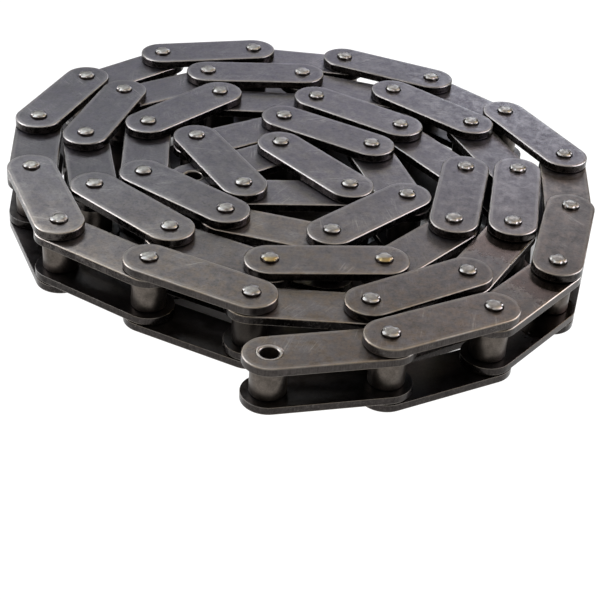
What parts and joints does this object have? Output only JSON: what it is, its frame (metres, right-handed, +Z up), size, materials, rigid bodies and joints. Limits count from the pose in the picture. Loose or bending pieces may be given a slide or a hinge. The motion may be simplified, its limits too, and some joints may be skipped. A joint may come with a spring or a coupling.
{
  "type": "steel chain coil",
  "caption": "Length of double-pitch steel conveyor chain with straight-sided plates and small rollers, wound into a flat coil and lying on its side.",
  "frame": {"origin": "on the floor under the middle of the coil's footprint, level with the lower rivet heads that the chain rests on", "axes": "+Z up along the pins; -Y towards the free outer end, +X to the right of it"},
  "size_m": [0.288, 0.2992, 0.0362],
  "materials": {
    "inner_link_steel": "black oxide, lightly oiled, satin",
    "outer_link_steel": "black oxide, lightly oiled, satin, with bright rivet heads",
    "roller_steel": "dark hardened steel, satin"
  },
  "bodies": {
    "coil": {"inner_link_04": "inner_link_steel", "outer_link_04": "outer_link_steel", "inner_link_05": "inner_link_steel", "outer_link_05": "outer_link_steel", "inner_link_06": "inner_link_steel", "outer_link_06": "outer_link_steel", "inner_link_07": "inner_link_steel", "outer_link_07": "outer_link_steel", "inner_link_08": "inner_link_steel", "outer_link_08": "outer_link_steel", "inner_link_09": "inner_link_steel", "outer_link_09": "outer_link_steel", "inner_link_10": "inner_link_steel", "outer_link_10": "outer_link_steel", "inner_link_11": "inner_link_steel", "outer_link_11": "outer_link_steel", "inner_link_12": "inner_link_steel", "outer_link_12": "outer_link_steel", "inner_link_13": "inner_link_steel", "outer_link_13": "outer_link_steel", "inner_link_14": "inner_link_steel", "outer_link_14": "outer_link_steel", "inner_link_15": "inner_link_steel", "outer_link_15": "outer_link_steel", "inner_link_16": "inner_link_steel", "outer_link_16": "outer_link_steel", "inner_link_17": "inner_link_steel", "outer_link_17": "outer_link_steel", "inner_link_18": "inner_link_steel", "outer_link_18": "outer_link_steel", "inner_link_19": "inner_link_steel", "outer_link_19": "outer_link_steel", "inner_link_20": "inner_link_steel", "outer_link_20": "outer_link_steel", "inner_link_21": "inner_link_steel", "outer_link_21": "outer_link_steel", "inner_link_22": "inner_link_steel", "outer_link_22": "outer_link_steel", "inner_link_23": "inner_link_steel", "outer_link_23": "outer_link_steel", "inner_link_24": "inner_link_steel"},
    "inner_link_01": {"inner_link_01": "inner_link_steel"},
    "outer_link_01": {"outer_link_01": "outer_link_steel"},
    "inner_link_02": {"inner_link_02": "inner_link_steel"},
    "outer_link_02": {"outer_link_02": "outer_link_steel"},
    "inner_link_03": {"inner_link_03": "inner_link_steel"},
    "outer_link_03": {"outer_link_03": "outer_link_steel"},
    "roller_01": {"roller_01": "roller_steel"},
    "roller_02": {"roller_02": "roller_steel"},
    "roller_03": {"roller_03": "roller_steel"},
    "roller_04": {"roller_04": "roller_steel"},
    "roller_05": {"roller_05": "roller_steel"},
    "roller_06": {"roller_06": "roller_steel"}
  },
  "joints": [
    {"name": "pin_1_hinge", "type": "hinge", "parent": "outer_link_01", "child": "inner_link_01", "pos_m": [0.04359, -0.12531, 0.018], "axis": [0, 0, 1], "range_deg": [0, 60]},
    {"name": "pin_2_hinge", "type": "hinge", "parent": "inner_link_02", "child": "outer_link_01", "pos_m": [0.0878, -0.10029, 0.018], "axis": [0, 0, 1], "range_deg": [0, 60]},
    {"name": "pin_3_hinge", "type": "hinge", "parent": "outer_link_02", "child": "inner_link_02", "pos_m": [0.11908, -0.06026, 0.018], "axis": [0, 0, 1], "range_deg": [0, 60]},
    {"name": "pin_4_hinge", "type": "hinge", "parent": "inner_link_03", "child": "outer_link_02", "pos_m": [0.13007, -0.01066, 0.018], "axis": [0, 0, 1], "range_deg": [0, 60]},
    {"name": "pin_5_hinge", "type": "hinge", "parent": "outer_link_03", "child": "inner_link_03", "pos_m": [0.13229, 0.04009, 0.018], "axis": [0, 0, 1], "range_deg": [0, 60]},
    {"name": "pin_6_hinge", "type": "hinge", "parent": "coil", "child": "outer_link_03", "pos_m": [0.10575, 0.0834, 0.018], "axis": [0, 0, 1], "range_deg": [0, 60]},
    {"name": "roller_01_spin", "type": "hinge", "parent": "inner_link_01", "child": "roller_01", "pos_m": [-0.00559, -0.13803, 0.018], "axis": [0, 0, 1], "continuous": true},
    {"name": "roller_02_spin", "type": "hinge", "parent": "inner_link_01", "child": "roller_02", "pos_m": [0.04359, -0.12531, 0.018], "axis": [0, 0, 1], "continuous": true},
    {"name": "roller_03_spin", "type": "hinge", "parent": "inner_link_02", "child": "roller_03", "pos_m": [0.0878, -0.10029, 0.018], "axis": [0, 0, 1], "continuous": true},
    {"name": "roller_04_spin", "type": "hinge", "parent": "inner_link_02", "child": "roller_04", "pos_m": [0.11908, -0.06026, 0.018], "axis": [0, 0, 1], "continuous": true},
    {"name": "roller_05_spin", "type": "hinge", "parent": "inner_link_03", "child": "roller_05", "pos_m": [0.13007, -0.01066, 0.018], "axis": [0, 0, 1], "continuous": true},
    {"name": "roller_06_spin", "type": "hinge", "parent": "inner_link_03", "child": "roller_06", "pos_m": [0.13229, 0.04009, 0.018], "axis": [0, 0, 1], "continuous": true}
  ]
}
